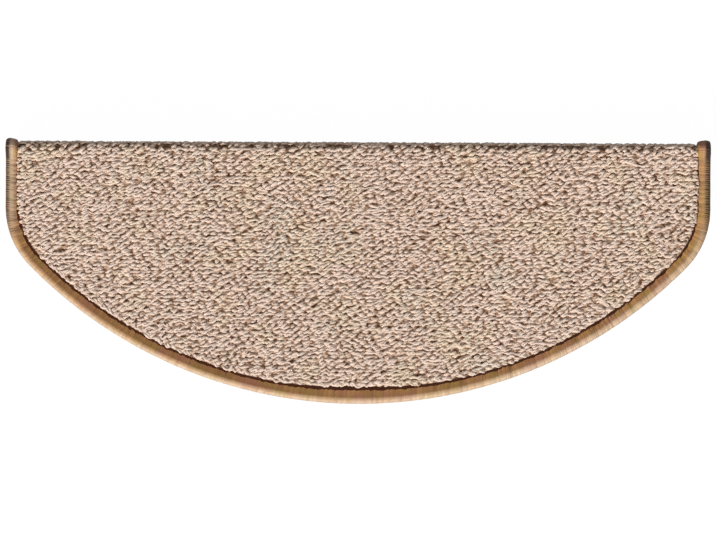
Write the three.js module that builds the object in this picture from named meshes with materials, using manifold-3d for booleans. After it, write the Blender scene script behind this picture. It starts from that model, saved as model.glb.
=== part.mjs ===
// Half-moon carpet mat for one stair tread. The carpet lies on the tread, folds over the nosing
// and ends in a short flap in front of the step. A yarn binding is sewn round its whole edge.
// +X runs along the step, +Y towards the riser behind the tread and +Z up. The origin is the
// middle of the face that lies on the tread, so the flap hangs below the plane z = 0.

import * as THREE from "three";
import { mergeVertices } from "three/addons/utils/BufferGeometryUtils.js";
import Module from "manifold-3d";

const wasm = await Module();
wasm.setup();

// Driving dimensions, in millimetres
const matWidth = 650; // over the bound side edges
const treadDepth = 242; // from the face of the flap to the crown of the curve
const cornerRadius = 77; // where each straight side turns into the curve
const curveRadius = 426; // the long curve along the back
const flapDrop = 35; // from the top of the pile to the bottom of the flap
const flapCornerRadius = 12;
const foldRadius = 2; // of the backing's own face, inside the fold

const backingThickness = 2;
const groundThickness = 2; // the woven ground, with the roots of the loops in it
const pileHeight = 3.5; // crowns of the loops above the ground

const crownSpacing = 15; // along a row: one crown stands for a small group of loops
const rowPitch = 5.6; // from one row of crowns to the next
const pitDepth = 2.3; // of the pits between the crowns
const crownVariation = 0.9; // the most that one crown stands lower than another
const pileInPits = 0.4; // the least that covers the ground at the bottom of a pit
const foldFlattening = 0.8; // how much lower the pile lies over the fold

const bindingWidth = 11.2; // of the band that shows on top
const bindingRise = 2.6; // of the band's crest above the ground
const bindingWall = 1.5; // yarn outside the carpet's cut edge
const underLegThickness = 0.9; // yarn below the pinched backing
const stitchPitch = 12; // of the bunches of yarn that show as ridges
const stitchRelief = 0.45; // of a ridge over the groove beside it
const stitchSlant = 0.35; // how far a ridge leans along the edge, for each millimetre of height
const foldBulge = 4; // how much thicker the binding is where it turns over the nosing
const foldBulgeReach = 8; // how far the bulge spreads along the edge

const sewnClearance = 0.3; // between the binding and what it is sewn round
const pileToBinding = 0.8; // the bare groove beside the binding

// Facets of the round stretches
const curveFacets = 40;
const cornerFacets = 8;
const flapCornerFacets = 5;
const foldFacets = 6;
const foldRings = 4; // of the binding

// Sizes that follow
const groundTop = backingThickness + groundThickness;
const crownHeight = groundTop + pileHeight;
const halfWidth = matWidth / 2;
const frontY = -treadDepth / 2;
const foldY = frontY + crownHeight + foldRadius; // where the tread ends and the fold begins
const flapBottomZ = crownHeight - flapDrop;
const cornerX = halfWidth - cornerRadius;
const curveY = treadDepth / 2 - curveRadius;
const curveStart = Math.acos(cornerX / (curveRadius - cornerRadius));
const cornerY = curveY + (curveRadius - cornerRadius) * Math.sin(curveStart);
const foldLength = (Math.PI / 2) * (foldRadius + groundTop);
const flapEnd = -foldLength - (-foldRadius - flapBottomZ);
const treadLength = treadDepth / 2 - foldY;
const wellClear = 20; // how far a cutting prism runs past the mat

// A point of the sheet, v along it from the start of the fold (flap negative) and h above its
// underside, as [y, z] of the folded mat
function folded(v, h) {
  if (v >= 0) return [foldY + v, h];
  const radius = foldRadius + h;
  if (v <= -foldLength) return [foldY - radius, -foldRadius + v + foldLength];
  const angle = (-v / foldLength) * (Math.PI / 2);
  return [foldY - radius * Math.sin(angle), -foldRadius + radius * Math.cos(angle)];
}

function solidOf(geometry) {
  geometry.deleteAttribute("normal");
  geometry.deleteAttribute("uv");
  const merged = mergeVertices(geometry, 1e-4);
  const mesh = new wasm.Mesh({
    numProp: 3,
    vertProperties: merged.attributes.position.array,
    triVerts: new Uint32Array(merged.index.array),
  });
  return new wasm.Manifold(mesh);
}

function geometryOf(solid) {
  const mesh = solid.getMesh();
  const geometry = new THREE.BufferGeometry();
  geometry.setAttribute("position", new THREE.BufferAttribute(mesh.vertProperties, 3));
  geometry.setIndex(new THREE.BufferAttribute(mesh.triVerts, 1));
  const flat = geometry.toNonIndexed();
  flat.computeVertexNormals();
  return flat;
}

function indexedGeometry(points, triangles) {
  const geometry = new THREE.BufferGeometry();
  geometry.setAttribute("position", new THREE.Float32BufferAttribute(points.flat(), 3));
  geometry.setIndex(triangles);
  return geometry;
}

// Points of an arc about (x, y), from one angle to the other
function arc(x, y, radius, from, to, facets) {
  const points = [];
  for (let i = 0; i <= facets; i++) {
    const angle = from + ((to - from) * i) / facets;
    points.push(new THREE.Vector2(x + radius * Math.cos(angle), y + radius * Math.sin(angle)));
  }
  return points;
}

// The half-moon seen from above, a given distance inside the edge, as a prism
function treadPrism(inset) {
  const side = halfWidth - inset;
  const corner = cornerRadius - inset;
  const outline = [
    new THREE.Vector2(-side, frontY - wellClear),
    new THREE.Vector2(side, frontY - wellClear),
    ...arc(cornerX, cornerY, corner, 0, curveStart, cornerFacets),
    ...arc(0, curveY, curveRadius - inset, curveStart, Math.PI - curveStart, curveFacets).slice(1),
    ...arc(-cornerX, cornerY, corner, Math.PI - curveStart, Math.PI, cornerFacets).slice(1),
  ];
  const depth = flapDrop + 2 * wellClear;
  const prism = new THREE.ExtrudeGeometry(new THREE.Shape(outline), { depth, bevelEnabled: false });
  prism.translate(0, 0, flapBottomZ - wellClear);
  return solidOf(prism);
}

// The flap seen from the front, a given distance inside the edge, as a prism over the whole depth
function flapPrism(inset) {
  const side = halfWidth - inset;
  const bottom = flapBottomZ + inset;
  const corner = Math.max(flapCornerRadius - inset, 1);
  const x = side - corner;
  const z = bottom + corner;
  const outline = [
    new THREE.Vector2(side, crownHeight + wellClear),
    new THREE.Vector2(-side, crownHeight + wellClear),
    ...arc(-x, z, corner, Math.PI, 1.5 * Math.PI, flapCornerFacets),
    ...arc(x, z, corner, 1.5 * Math.PI, 2 * Math.PI, flapCornerFacets),
  ];
  const depth = treadDepth + 2 * wellClear;
  const prism = new THREE.ExtrudeGeometry(new THREE.Shape(outline), { depth, bevelEnabled: false });
  prism.applyMatrix4(
    new THREE.Matrix4().makeBasis(
      new THREE.Vector3(1, 0, 0),
      new THREE.Vector3(0, 0, 1),
      new THREE.Vector3(0, -1, 0),
    ),
  );
  prism.translate(0, treadDepth / 2 + wellClear, 0);
  return solidOf(prism);
}

// Cuts a folded sheet to the mat's outline, a given distance inside the edge
function trimmed(sheet, inset) {
  return sheet.intersect(treadPrism(inset)).intersect(flapPrism(inset));
}

// The sheet between two heights above its underside, folded, before it is trimmed
function foldedSheet(low, high) {
  const along = [flapEnd - wellClear];
  for (let i = 0; i <= foldFacets; i++) along.push(-foldLength + (foldLength * i) / foldFacets);
  along.push(treadLength + wellClear);
  const profile = [
    ...along.map((v) => new THREE.Vector2(...folded(v, low))),
    ...along.reverse().map((v) => new THREE.Vector2(...folded(v, high))),
  ];
  const depth = matWidth + 2 * wellClear;
  const sheet = new THREE.ExtrudeGeometry(new THREE.Shape(profile), { depth, bevelEnabled: false });
  sheet.applyMatrix4(
    new THREE.Matrix4().makeBasis(
      new THREE.Vector3(0, 1, 0),
      new THREE.Vector3(0, 0, 1),
      new THREE.Vector3(1, 0, 0),
    ),
  );
  sheet.translate(-halfWidth - wellClear, 0, 0);
  return solidOf(sheet);
}

// A repeatable value from 0 to 1 for each crown
function scatter(row, column) {
  const wave = Math.sin(row * 12.9898 + column * 78.233) * 43758.5453;
  return wave - Math.floor(wave);
}

// Where the rows of crowns lie along the sheet, closer together or further apart only in the fold
function rowPlaces() {
  const flapRows = Math.ceil((-foldLength - flapEnd) / rowPitch) + 1;
  const foldRows = Math.max(2, Math.round(((Math.PI / 2) * (foldRadius + crownHeight)) / rowPitch));
  const treadRows = Math.ceil(treadLength / rowPitch) + 1;
  const places = [];
  for (let i = flapRows; i > 0; i--) places.push(-foldLength - i * rowPitch);
  for (let i = 0; i < foldRows; i++) places.push(-foldLength + (foldLength * i) / foldRows);
  for (let i = 0; i <= treadRows; i++) places.push(i * rowPitch);
  return places;
}

// Rows of loops as a relief: crowns and pits take turns along each row, and each row is shifted
// by half a loop from the one before it. Ridges join the crowns, and the pits lie between them.
function loopRelief() {
  const rows = rowPlaces();
  const columns = 2 * Math.ceil((halfWidth + wellClear) / crownSpacing) * 2;
  const step = crownSpacing / 2;
  const points = [];
  rows.forEach((v, row) => {
    const overFold = v < rowPitch && v > -foldLength - rowPitch;
    const top = crownHeight - (overFold ? foldFlattening : 0);
    for (let column = 0; column <= columns; column++) {
      const crown = (row + column) % 2 === 0;
      const drop = crownVariation * scatter(row, column);
      const pit = Math.max(groundTop + pileInPits, top - pitDepth - drop / 2);
      const h = crown ? top - drop : pit;
      points.push([(column - columns / 2) * step, ...folded(v, h)]);
    }
  });
  const underside = groundTop - groundThickness / 2;
  const upper = points.length;
  for (const v of rows)
    for (const side of [-1, 1])
      points.push([(side * columns * step) / 2, ...folded(v, underside)]);

  const triangles = [];
  const at = (row, column) => row * (columns + 1) + column;
  const below = (row, side) => upper + 2 * row + side;
  for (let row = 0; row + 1 < rows.length; row++) {
    for (let column = 0; column < columns; column++) {
      const [a, b] = [at(row, column), at(row, column + 1)];
      const [c, d] = [at(row + 1, column + 1), at(row + 1, column)];
      // The diagonal that joins the two crowns of these four points
      if ((row + column) % 2 === 0) triangles.push(a, b, c, a, c, d);
      else triangles.push(a, b, d, b, c, d);
    }
    triangles.push(below(row, 0), below(row + 1, 1), below(row, 1));
    triangles.push(below(row, 0), below(row + 1, 0), below(row + 1, 1));
    triangles.push(at(row, 0), at(row + 1, 0), below(row + 1, 0));
    triangles.push(at(row, 0), below(row + 1, 0), below(row, 0));
    triangles.push(at(row, columns), below(row, 1), below(row + 1, 1));
    triangles.push(at(row, columns), below(row + 1, 1), at(row + 1, columns));
  }
  const last = rows.length - 1;
  for (let column = 0; column < columns; column++) {
    triangles.push(below(0, 0), at(0, column + 1), at(0, column));
    triangles.push(below(last, 0), at(last, column), at(last, column + 1));
  }
  triangles.push(below(0, 0), below(0, 1), at(0, columns));
  triangles.push(below(last, 0), at(last, columns), below(last, 1));
  return solidOf(indexedGeometry(points, triangles));
}

// The places along the mat's edge where a ring of the binding stands: [u, v, outward u, outward v,
// ridge], with u across the sheet and v along it. Ridge is 1 on a ridge of the yarn, -1 in a groove
// and 0 over the fold, where the yarn is packed too close to show either.
function bindingRings() {
  const rings = [];
  const turn = (i) => (i % 2 === 0 ? 1 : -1);
  const ringsFor = (length, fewest) => 2 * Math.max(fewest, Math.round(length / stitchPitch));
  const straight = (u, v, toU, toV, outU, outV) => {
    const count = ringsFor(Math.hypot(toU - u, toV - v), 1);
    for (let i = 0; i < count; i++)
      rings.push([u + ((toU - u) * i) / count, v + ((toV - v) * i) / count, outU, outV, turn(i)]);
  };
  const round = (u, v, radius, from, to) => {
    const count = ringsFor(radius * (to - from), 3);
    for (let i = 0; i < count; i++) {
      const angle = from + ((to - from) * i) / count;
      const [outU, outV] = [Math.cos(angle), Math.sin(angle)];
      rings.push([u + radius * outU, v + radius * outV, outU, outV, turn(i)]);
    }
  };
  const fold = (u, outU, upwards) => {
    for (let i = 0; i < foldRings; i++) {
      const share = upwards ? 1 - i / foldRings : i / foldRings;
      rings.push([u, -foldLength * share, outU, 0, 0]);
    }
  };
  const sideEnd = cornerY - foldY;
  const flapCornerU = halfWidth - flapCornerRadius;
  const flapCornerV = flapEnd + flapCornerRadius;
  straight(halfWidth, flapCornerV, halfWidth, -foldLength, 1, 0);
  fold(halfWidth, 1, true);
  straight(halfWidth, 0, halfWidth, sideEnd, 1, 0);
  round(cornerX, sideEnd, cornerRadius, 0, curveStart);
  round(0, curveY - foldY, curveRadius, curveStart, Math.PI - curveStart);
  round(-cornerX, sideEnd, cornerRadius, Math.PI - curveStart, Math.PI);
  straight(-halfWidth, sideEnd, -halfWidth, 0, -1, 0);
  fold(-halfWidth, -1, false);
  straight(-halfWidth, -foldLength, -halfWidth, flapCornerV, -1, 0);
  round(-flapCornerU, flapCornerV, flapCornerRadius, Math.PI, 1.5 * Math.PI);
  straight(-flapCornerU, flapEnd, flapCornerU, flapEnd, 0, -1);
  round(flapCornerU, flapCornerV, flapCornerRadius, 1.5 * Math.PI, 2 * Math.PI);
  return rings;
}

// The binding's section, from the inner edge of the band over the top, round the carpet's cut edge
// and back through the slot that holds it: [distance outward, height, 1 where the ridges show]
function bindingSection() {
  const top = groundTop + bindingRise;
  const slotTop = groundTop + sewnClearance;
  return [
    [-bindingWidth, slotTop, 0],
    [-0.88 * bindingWidth, top - 0.5 * bindingRise, 1],
    [-0.66 * bindingWidth, top - 0.12 * bindingRise, 1],
    [-0.4 * bindingWidth, top, 1],
    [-0.13 * bindingWidth, top - 0.45 * bindingRise, 1],
    [0, 0.4 * top, 1],
    [-0.1 * bindingWidth, 0, 0],
    [-bindingWidth, 0, 0],
    [-bindingWidth, underLegThickness, 0],
    [-bindingWall, underLegThickness, 0],
    [-bindingWall, slotTop, 0],
  ];
}

// The section carried round the mat's edge as one closed ring
function binding() {
  const section = bindingSection();
  const middle = (groundTop + bindingRise) / 2;
  const rings = bindingRings();
  const points = [];
  for (const [u, v, outU, outV, turn] of rings) {
    const ridge = (turn * stitchRelief) / 2;
    const fromFold = (v + foldLength / 2) / foldBulgeReach;
    const bulge = foldBulge * Math.exp(-fromFold * fromFold);
    for (const [outward, height, shows] of section) {
      const onTop = height > middle;
      const out = outward + (onTop ? 0 : shows * ridge);
      const h = height + (onTop ? shows * (ridge + bulge) : 0);
      const lean = shows * stitchSlant * (height - middle);
      points.push([u + outU * out - outV * lean, ...folded(v + outV * out + outU * lean, h)]);
    }
  }
  const size = section.length;
  const triangles = [];
  rings.forEach((_, i) => {
    const next = (i + 1) % rings.length;
    for (let k = 0; k < size; k++) {
      const after = (k + 1) % size;
      const [a, b] = [i * size + k, i * size + after];
      const [c, d] = [next * size + after, next * size + k];
      triangles.push(a, b, c, a, c, d);
    }
  });
  return solidOf(indexedGeometry(points, triangles));
}

function carpet() {
  const edge = bindingWall + sewnClearance;
  const ground = trimmed(foldedSheet(backingThickness, groundTop), edge);
  return ground.add(trimmed(loopRelief(), bindingWidth + pileToBinding));
}

// The grip layer under the carpet, pinched thinner where the binding is sewn through it
function backing() {
  const edge = bindingWall + sewnClearance;
  const pinched = underLegThickness + sewnClearance;
  const full = trimmed(foldedSheet(0, backingThickness), bindingWidth + sewnClearance);
  return full.add(trimmed(foldedSheet(pinched, backingThickness), edge));
}

const materials = {
  carpet: new THREE.MeshStandardMaterial({ color: 0xbaa18f, roughness: 0.95, metalness: 0 }),
  backing: new THREE.MeshStandardMaterial({ color: 0x3b3835, roughness: 0.85, metalness: 0 }),
  binding: new THREE.MeshStandardMaterial({ color: 0xa87b4e, roughness: 0.8, metalness: 0 }),
};

function piece(name, solid, material) {
  const mesh = new THREE.Mesh(geometryOf(solid), material);
  mesh.name = name;
  return mesh;
}

const mat = new THREE.Group();
mat.add(piece("loop_pile_carpet", carpet(), materials.carpet));
mat.add(piece("anti_slip_backing", backing(), materials.backing));
mat.add(piece("edge_binding", binding(), materials.binding));

export default mat;
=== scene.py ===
# The half-moon stair mat, dressed round its solids: every loop of the pile and every turn of the
# edge yarn is a mesh of its own form. All sizes are in metres, in the frame of the solids. Places
# on the mat are worked out on its flat sheet and then folded over the nosing. In the picture, left
# is +x and down is +y.

import math
import bpy
import numpy as np
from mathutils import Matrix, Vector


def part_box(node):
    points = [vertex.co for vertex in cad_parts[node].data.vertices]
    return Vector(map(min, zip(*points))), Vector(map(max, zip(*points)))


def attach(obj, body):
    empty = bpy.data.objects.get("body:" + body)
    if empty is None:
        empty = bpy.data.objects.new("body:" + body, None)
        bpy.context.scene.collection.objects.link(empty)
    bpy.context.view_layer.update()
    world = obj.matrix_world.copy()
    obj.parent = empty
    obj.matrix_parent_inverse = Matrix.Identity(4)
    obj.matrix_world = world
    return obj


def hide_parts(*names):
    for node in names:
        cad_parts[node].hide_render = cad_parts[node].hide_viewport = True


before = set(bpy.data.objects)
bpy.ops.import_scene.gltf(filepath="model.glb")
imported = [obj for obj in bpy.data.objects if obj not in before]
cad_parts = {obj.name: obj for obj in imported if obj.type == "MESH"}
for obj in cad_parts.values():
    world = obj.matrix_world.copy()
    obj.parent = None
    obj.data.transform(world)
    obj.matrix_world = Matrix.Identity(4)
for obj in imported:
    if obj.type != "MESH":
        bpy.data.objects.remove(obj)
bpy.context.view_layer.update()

carpet_low, carpet_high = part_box("loop_pile_carpet")

# Sizes that the mat's solids have
CORNER_RADIUS = 0.077
CURVE_RADIUS = 0.426
FLAP_CORNER_RADIUS = 0.012
FOLD_RADIUS = 0.002
BACKING = 0.002
GROUND = 0.002
EDGE_TO_GROUND = 0.0018
BINDING_WIDTH = 0.0112
BINDING_RISE = 0.0026

# The pile: each row is a two-ply yarn that rises in loops, half a loop apart from row to row
ROW_PITCH = 0.0032
LOOP_PITCH = 0.0088
TWIST_PITCH = 0.0105
YARN_STEP = 0.0013
FEWEST_STEPS = 6
PLY_HALF_WIDTH = 0.00112
PLY_HALF_HEIGHT = 0.00092
PLY_SIDES = 5
PLY_PARTING = 0.00080
PARTING_ON_CREST = 1.3
PARTING_LOST_IN_DIP = 0.7
PLY_CROSSING = 0.00045
LOOP_DIP = 0.0021
DIP_LIMITS = (0.0007, 0.0030)
DIP_SHARPNESS = 1.4
LOOP_SLANT = 0.0005
USUAL_SLANT = 0.9
THICKNESS_ON_CREST = 1.15
THICKNESS_LOST_IN_DIP = 0.30
THICKNESS_LIMITS = (0.65, 1.35)
LAST_TREAD_ROW = -0.0013
FIRST_FLAP_ROW = -0.0046

# Where the rows end: in the edge yarn along the sides, and short of it along the curve
PILE_GAP_AT_SIDES = -0.0002
PILE_GAP_AT_CURVE = 0.0021
SIDES_END = 0.03
SIDES_FADE = 0.05
ROW_END_SCATTER = (-0.0006, 0.0010)
END_TUCK = 0.0032
END_TUCK_SHARPNESS = 1.6

# How unevenly the pile lies: each is an amount and the distance in which it changes. Amounts of
# drift and slip are in radians of a loop or twist, and the others are in metres or are shares.
LOOP_DRIFT = (1.8, 1.2 * LOOP_PITCH)
BROAD_DRIFT = (1.3, 0.035)
LOCAL_DRIFT = (0.8, 0.014)
TWIST_DRIFT = (1.6, LOOP_PITCH)
PLY_SLIP = (0.6, 1.3 * LOOP_PITCH)
DIP_CHANGE = (0.0010, LOOP_PITCH)
CREST_CHANGE = (0.00030, 0.006)
BROAD_CREST_CHANGE = (0.0002, 0.02)
SLANT_CHANGE = (0.7, 0.026)
ROW_WANDER = (0.0005, 0.0046)
PARTING_CHANGE = (0.35, 0.006)
PLY_SWAY = (0.00018, 0.004)
THICKNESS_CHANGE = (0.10, 0.005)
TINT_CHANGE = (0.2, 0.006)

# The nosing, where the first row of the flap sinks here and there and the pile takes painted shade
SUNK_DEPTH = 0.0018
SUNK_SPREAD = 0.002
SUNK_CHANGE = (1.0, 0.010)
NOSING_PLACE = -0.0058
NOSING_SPREAD = 0.0034
NOSING_SHADE = 0.15

# The woven ground, and the bed of legs and fibres on it
GROUND_STEP = 0.0045
GROUND_GAP = 0.0001
BED_STEP = 0.0022
BED_DEPTH = 0.0015
BED_SINK = 0.0004
BED_LEAST = 0.0002
BED_INSET = BINDING_WIDTH + 0.0024
BED_LUMPS = (0.45, 0.0035)
BED_BROAD_LUMPS = (0.10, 0.009)
BED_FOLD_SPREAD = 0.0045
BED_FOLD_LOSS = 0.85
# The share of its rise that the bed's colour reads, which gives it more painted shade
BED_RISE_SHARE = 0.6
BED_TINT = 0.4

# The edge yarn
WRAP_PITCH = 0.0020
WRAP_HALF_WIDTH = 0.00240
WRAP_HALF_HEIGHT = 0.00068
WRAP_STATIONS = 18
WRAP_SIDES = 6
WRAP_SLANT = 0.0022
FOLD_BULGE = 0.0039
FOLD_BULGE_REACH = 0.008
FOLD_CROWDING = 1.7
CURVE_EXTRA = 0.0006
APEX_EXTRA = 0.0018
APEX_PILE_EXTRA = 0.0030
APEX_REACH = 0.048
RIGHT_EXTRA = 0.0010
EDGE_HEIGHT_SHARE = 0.30
TOP_SHARE = 0.6
YARN_IN_TURN = 0.024

# The way of one turn. On top: the share of the band's width in from the cut edge, and the depth
# under the crest. At its inner end: the same share, and the depth under the ground's top.
# Underneath: the same share, and the yarn's height over the underside.
TURN_INNER_END = (1.03, 0.0010)
TURN_ON_TOP = [
    (1.00, 0.0028), (0.82, 0.0020), (0.62, 0.0008), (0.43, 0.0),
    (0.30, 0.0002), (0.19, 0.0009), (0.10, 0.0023),
]
TURN_UNDERNEATH = [(0.11, 0.0007), (0.25, 0.0), (0.60, 0.0), (0.97, 0.0), (1.03, 0.0008)]

# The core under the turns, in the same way. It lies CORE_SINK under their outer side, and its inner
# foot is CORE_FOOT under the top of the grip layer.
CORE_STEP = 0.0025
CORE_SINK = 1.6 * WRAP_HALF_HEIGHT
CORE_FOOT = 0.0008
CORE_ON_TOP = [(0.94, 0.0026), (0.66, 0.0010), (0.46, 0.0001), (0.26, 0.0017)]
CORE_UNDERNEATH = (0.2, 1.3 * WRAP_HALF_HEIGHT)

# How unevenly the turns lie
PAIRING = 0.05
PITCH_SCATTER = 0.06
TUCK_SCATTER = 0.0003
TUCK_FADE = 3
TURN_LUMPS = (0.00022, 0.005)
TURN_HEIGHT_SCATTER = 0.00002
TURN_LEAN_SCATTER = 0.00015
TURN_THICKNESS = (0.90, 1.10)
TURN_TINTS = (0.26, 0.005)
TURN_TINT_SCATTER = 0.22

# The stretch of the band over the nosing that is duller and darker, partly its own duller tone and
# partly painted shade where it turns away from the light: its two ends along the sheet, and how far
# it fades in from each
DULL_AND_SHADED_SHARE = 0.8
DULL_AND_SHADED_BAND = (-0.020, -0.0018)
DULL_AND_SHADED_FADES = (0.006, 0.0035)

# The painted shade and painted highlight across the band. Places count outward from the cut edge,
# so they are negative inside it. A pair is for the left and the right of the picture, which the
# light reaches differently.
SIDE_SHADE = 0.92
SHADE_STARTS = (-0.0055, -0.0067)
SHADE_FADE = 0.0024
HOLLOW_SHADE = 0.12
HOLLOW_PLACE = -0.0070
HOLLOW_SPREAD = 0.0020
CREST_HIGHLIGHT = (1.10, 0.25)
CREST_PLACE = -0.0056
CREST_SPREAD = 0.0030
PAINTED_HIGHLIGHT_STRENGTH = 0.45
RIM_PLACE = -0.0066
RIM_LEAN = 0.0016
RIM_FADE = 0.0040
RIM_SCATTER = 0.15

# Where the band counts as a side and where as the curve, by the v of its outward direction
SIDE_TURN_END = 0.45
CURVE_TURN_START = 0.10
CURVE_TURN_LENGTH = 0.45

# Sizes that follow
ground_top = BACKING + GROUND
crown = carpet_high.z
half_width = carpet_high.x + EDGE_TO_GROUND
back_y = carpet_high.y + EDGE_TO_GROUND
front_y = -back_y
flap_bottom = carpet_low.z - EDGE_TO_GROUND
fold_y = front_y + crown + FOLD_RADIUS
fold_length = (math.pi / 2) * (FOLD_RADIUS + ground_top)
flap_end = -fold_length + FOLD_RADIUS + flap_bottom
corner_u = half_width - CORNER_RADIUS
curve_v = back_y - CURVE_RADIUS - fold_y
curve_start = math.acos(corner_u / (CURVE_RADIUS - CORNER_RADIUS))
corner_v = curve_v + (CURVE_RADIUS - CORNER_RADIUS) * math.sin(curve_start)
curve_end = back_y - fold_y

rng = np.random.default_rng(65)


# The sheet and its outline

def folded(points):
    """Turns points of the flat sheet (u across it, v along it from the fold, h above its underside)
    into places on the folded mat."""
    u, v, h = np.moveaxis(points, -1, 0)
    radius = FOLD_RADIUS + h
    angle = np.clip(-v / fold_length, 0, 1) * (math.pi / 2)
    y = fold_y + np.maximum(v, 0) - radius * np.sin(angle)
    z = -FOLD_RADIUS + radius * np.cos(angle) + np.minimum(v + fold_length, 0)
    return np.stack([u, y, z], axis=-1)


def half_width_at(v, inset):
    """Half the sheet's width at v, measured a distance inside its edge."""
    v = np.asarray(v, float)
    width = np.full(v.shape, half_width - inset)
    corner = CORNER_RADIUS - inset
    over = np.clip(corner**2 - (v - corner_v) ** 2, 0, None)
    width = np.where(v > corner_v, corner_u + np.sqrt(over), width)
    meets = corner_v + corner * math.sin(curve_start)
    over = np.clip((CURVE_RADIUS - inset) ** 2 - (v - curve_v) ** 2, 0, None)
    width = np.where(v > meets, np.sqrt(over), width)
    corner = FLAP_CORNER_RADIUS - inset
    centre = flap_end + FLAP_CORNER_RADIUS
    if corner > 0:
        over = np.clip(corner**2 - (v - centre) ** 2, 0, None)
        width = np.where(v < centre, half_width - FLAP_CORNER_RADIUS + np.sqrt(over), width)
    return width


def edge_line(step=0.0005):
    """Points once round the edge of the flat sheet and the outward direction at each of them."""
    places, outs = [], []

    def straight(start, end, out):
        count = max(1, round(math.dist(start, end) / step))
        share = np.arange(count)[:, None] / count
        places.append(np.array(start) + share * (np.array(end) - np.array(start)))
        outs.append(np.tile(out, (count, 1)))

    def turn(centre, radius, start, end):
        count = max(1, round(radius * (end - start) / step))
        angle = start + (end - start) * np.arange(count) / count
        out = np.stack([np.cos(angle), np.sin(angle)], axis=-1)
        places.append(np.array(centre) + radius * out)
        outs.append(out)

    flap_u = half_width - FLAP_CORNER_RADIUS
    flap_v = flap_end + FLAP_CORNER_RADIUS
    straight((-flap_u, flap_end), (flap_u, flap_end), (0.0, -1.0))
    turn((flap_u, flap_v), FLAP_CORNER_RADIUS, -math.pi / 2, 0)
    straight((half_width, flap_v), (half_width, corner_v), (1.0, 0.0))
    turn((corner_u, corner_v), CORNER_RADIUS, 0, curve_start)
    turn((0, curve_v), CURVE_RADIUS, curve_start, math.pi - curve_start)
    turn((-corner_u, corner_v), CORNER_RADIUS, math.pi - curve_start, math.pi)
    straight((-half_width, corner_v), (-half_width, flap_v), (-1.0, 0.0))
    turn((-flap_u, flap_v), FLAP_CORNER_RADIUS, math.pi, 1.5 * math.pi)
    return np.concatenate(places), np.concatenate(outs)


def soft_field(u, v, change, seed, waves=14):
    """A smooth random value over the sheet, of about the amount that the change gives and with
    lumps of about its size."""
    amount, size = change
    shortest, longest = 1.2, 3.0
    own = np.random.default_rng(seed)
    total = np.zeros(np.shape(u))
    for _ in range(waves):
        heading = own.uniform(0, 2 * math.pi)
        length = size * own.uniform(shortest, longest)
        phase = own.uniform(0, 2 * math.pi)
        along = u * math.cos(heading) + v * math.sin(heading)
        total = total + np.sin(2 * math.pi * along / length + phase)
    return amount * (total / math.sqrt(waves))


def near(value, place, spread):
    """1 at a place, falling smoothly to 0 a few spreads away from it."""
    away = (value - place) / spread
    return np.exp(-away * away)


def apex_share(u, v):
    """1 at the middle of the curve, where the edge yarn is sewn wider, and 0 away from it."""
    return near(u, 0.0, APEX_REACH) * (v > corner_v)


# Meshes

def unit(vectors):
    return vectors / np.linalg.norm(vectors, axis=-1, keepdims=True)


def make_piece(name, points, faces, material):
    """An object from an array of points and a list of arrays of faces, each with like corners."""
    mesh = bpy.data.meshes.new(name)
    corners = np.concatenate([f.ravel() for f in faces]).astype(np.int32)
    counts = np.concatenate([np.full(len(f), f.shape[1]) for f in faces])
    starts = np.concatenate([[0], np.cumsum(counts)[:-1]]).astype(np.int32)
    mesh.vertices.add(len(points))
    mesh.vertices.foreach_set("co", points.astype(np.float32).ravel())
    mesh.loops.add(len(corners))
    mesh.loops.foreach_set("vertex_index", corners)
    mesh.polygons.add(len(counts))
    mesh.polygons.foreach_set("loop_start", starts)
    mesh.update(calc_edges=True)
    mesh.shade_smooth()
    mesh.materials.append(material)
    piece = bpy.data.objects.new(name, mesh)
    bpy.context.collection.objects.link(piece)
    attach(piece, "root")
    return piece


def add_value(piece, name, values):
    """A number for each point of the piece, which its material reads."""
    values = np.asarray(values, np.float32).ravel()
    piece.data.attributes.new(name, "FLOAT", "POINT").data.foreach_set("value", values)


def tubes(paths, across, half_wide, half_high, sides):
    """Points round oval tubes along paths (tube, station, xyz). across is the oval's wide
    direction."""
    along = unit(np.gradient(paths, axis=1))
    up = unit(np.cross(along, across))
    angle = 2 * math.pi * np.arange(sides) / sides
    wide = half_wide[..., None, None] * across[:, :, None] * np.cos(angle)[None, None, :, None]
    high = half_high[..., None, None] * up[:, :, None] * np.sin(angle)[None, None, :, None]
    return paths[:, :, None] + wide + high


def tube_faces(count, stations, sides):
    """The side faces and the end caps of tubes whose points lie as (tube, station, side)."""
    index = np.arange(count * stations * sides).reshape(count, stations, sides)
    after = np.roll(index, -1, axis=2)
    walls = np.stack([index[:, :-1], after[:, :-1], after[:, 1:], index[:, 1:]], axis=-1)
    caps = np.concatenate([index[:, 0, ::-1], index[:, -1]])
    return [walls.reshape(-1, 4), caps]


def yarn_map(count, stations, sides, lengths):
    """For each corner of the side faces of tubes: the way along the yarn and the way round it."""
    station = np.arange(stations - 1)[None, :, None]
    side = np.arange(sides)[None, None, :]
    scale = (np.broadcast_to(lengths, count) / (stations - 1))[:, None, None]
    shape = (count, stations - 1, sides)
    low_s = np.broadcast_to(station * scale, shape)
    high_s = np.broadcast_to((station + 1) * scale, shape)
    low_r = np.broadcast_to(side / sides, shape)
    high_r = np.broadcast_to((side + 1) / sides, shape)
    return np.stack([low_s, low_r, low_s, high_r, high_s, high_r, high_s, low_r], axis=-1).ravel()


def set_yarn_map(piece, walls, cap_corners):
    layer = piece.data.uv_layers.new(name="yarn")
    both = np.concatenate([walls, np.zeros(2 * cap_corners)])
    layer.data.foreach_set("uv", both.astype(np.float32))


# Materials

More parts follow.
